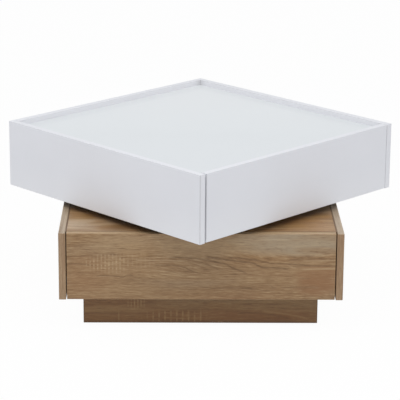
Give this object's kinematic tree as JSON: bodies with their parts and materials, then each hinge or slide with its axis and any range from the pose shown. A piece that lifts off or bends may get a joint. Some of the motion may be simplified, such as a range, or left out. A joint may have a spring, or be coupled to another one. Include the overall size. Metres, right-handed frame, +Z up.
{
  "type": "swivel coffee table",
  "caption": "Low square coffee table: a white drawer box with a rimmed tray top turns on an oak drawer box that stands on a set-back plinth.",
  "frame": {"origin": "on the floor, under the swivel axis and the middle of both boxes", "axes": "+Z up along the swivel axis, -Y the way the lower drawer opens"},
  "size_m": [0.8476, 0.8476, 0.383],
  "materials": {
    "white_board": "white satin melamine on chipboard",
    "oak_board": "sawn oak decor melamine on chipboard",
    "drawer_board": "pale grey foil on chipboard",
    "drawer_panel": "white lacquer on hardboard",
    "plain_wood": "raw beech",
    "runner_metal": "white epoxy coat on sheet steel",
    "zinc_steel": "bright zinc plate",
    "bearing_ball": "polished steel",
    "roller_nylon": "moulded nylon",
    "cage_plastic": "moulded plastic",
    "glide_plastic": "moulded plastic"
  },
  "bodies": {
    "base": {"floor_glides": "glide_plastic", "lower_back": "oak_board", "lower_bottom": "oak_board", "lower_cam_bolts": "zinc_steel", "lower_cam_locks": "zinc_steel", "lower_dowels": "plain_wood", "lower_left_runner": "runner_metal", "lower_left_side": "oak_board", "lower_right_runner": "runner_metal", "lower_right_side": "oak_board", "lower_runner_screws": "zinc_steel", "lower_top": "oak_board", "plinth_back": "oak_board", "plinth_corner_blocks": "plain_wood", "plinth_front": "oak_board", "plinth_left": "oak_board", "plinth_right": "oak_board", "plinth_screws": "zinc_steel", "swivel_hub": "zinc_steel", "swivel_lower_plate": "zinc_steel", "swivel_lower_screws": "zinc_steel"},
    "upper_box": {"swivel_upper_plate": "zinc_steel", "swivel_upper_screws": "zinc_steel", "upper_back": "white_board", "upper_bottom": "white_board", "upper_cam_bolts": "zinc_steel", "upper_cam_locks": "zinc_steel", "upper_dowels": "plain_wood", "upper_left_runner": "runner_metal", "upper_left_side": "white_board", "upper_right_runner": "runner_metal", "upper_right_side": "white_board", "upper_runner_screws": "zinc_steel", "upper_tray": "white_board"},
    "lower_drawer": {"lower_drawer_back": "drawer_board", "lower_drawer_bottom": "drawer_panel", "lower_drawer_cam_bolts": "zinc_steel", "lower_drawer_cam_locks": "zinc_steel", "lower_drawer_front": "oak_board", "lower_drawer_left_rail": "runner_metal", "lower_drawer_left_side": "drawer_board", "lower_drawer_right_rail": "runner_metal", "lower_drawer_right_side": "drawer_board", "lower_drawer_screws": "zinc_steel"},
    "upper_drawer": {"upper_drawer_back": "drawer_board", "upper_drawer_bottom": "drawer_panel", "upper_drawer_cam_bolts": "zinc_steel", "upper_drawer_cam_locks": "zinc_steel", "upper_drawer_front": "white_board", "upper_drawer_left_rail": "runner_metal", "upper_drawer_left_side": "drawer_board", "upper_drawer_right_rail": "runner_metal", "upper_drawer_right_side": "drawer_board", "upper_drawer_screws": "zinc_steel"},
    "ball_cage": {"swivel_ball_cage": "cage_plastic", "swivel_balls": "bearing_ball"},
    "lower_runner_rollers": {"lower_runner_rollers": "roller_nylon"},
    "lower_drawer_rollers": {"lower_drawer_rollers": "roller_nylon"},
    "upper_runner_rollers": {"upper_runner_rollers": "roller_nylon"},
    "upper_drawer_rollers": {"upper_drawer_rollers": "roller_nylon"}
  },
  "joints": [
    {"name": "swivel", "type": "hinge", "parent": "base", "child": "upper_box", "pos_m": [0, 0, 0.228], "axis": [0, 0, 1], "continuous": true},
    {"name": "ball_cage_turn", "type": "hinge", "parent": "base", "child": "ball_cage", "pos_m": [0, 0, 0.228], "axis": [0, 0, 1], "continuous": true},
    {"name": "lower_drawer_slide", "type": "slide", "parent": "base", "child": "lower_drawer", "axis": [0, -1, 0], "range_m": [0, 0.35]},
    {"name": "upper_drawer_slide", "type": "slide", "parent": "upper_box", "child": "upper_drawer", "axis": [0.6984, -0.7157, 0], "range_m": [0, 0.35]},
    {"name": "lower_runner_rollers_turn", "type": "hinge", "parent": "base", "child": "lower_runner_rollers", "pos_m": [0, -0.265, 0.1108], "axis": [1, 0, 0], "range_deg": [0, 1650]},
    {"name": "lower_drawer_rollers_turn", "type": "hinge", "parent": "lower_drawer", "child": "lower_drawer_rollers", "pos_m": [0, 0.195, 0.1095], "axis": [1, 0, 0], "range_deg": [0, 2020]},
    {"name": "upper_runner_rollers_turn", "type": "hinge", "parent": "upper_box", "child": "upper_runner_rollers", "pos_m": [0.18508, -0.18966, 0.2738], "axis": [0.7157, 0.6984, 0], "range_deg": [0, 1650]},
    {"name": "upper_drawer_rollers_turn", "type": "hinge", "parent": "upper_drawer", "child": "upper_drawer_rollers", "pos_m": [-0.13619, 0.13956, 0.2725], "axis": [0.7157, 0.6984, 0], "range_deg": [0, 2020]}
  ],
  "couplings": [
    {"joint": "ball_cage_turn", "follows": "swivel", "ratio": 0.5},
    {"joint": "lower_runner_rollers_turn", "follows": "lower_drawer_slide", "rad_per_m": 81.967},
    {"joint": "lower_drawer_rollers_turn", "follows": "lower_drawer_slide", "rad_per_m": 100},
    {"joint": "upper_runner_rollers_turn", "follows": "upper_drawer_slide", "rad_per_m": 81.967},
    {"joint": "upper_drawer_rollers_turn", "follows": "upper_drawer_slide", "rad_per_m": 100}
  ]
}
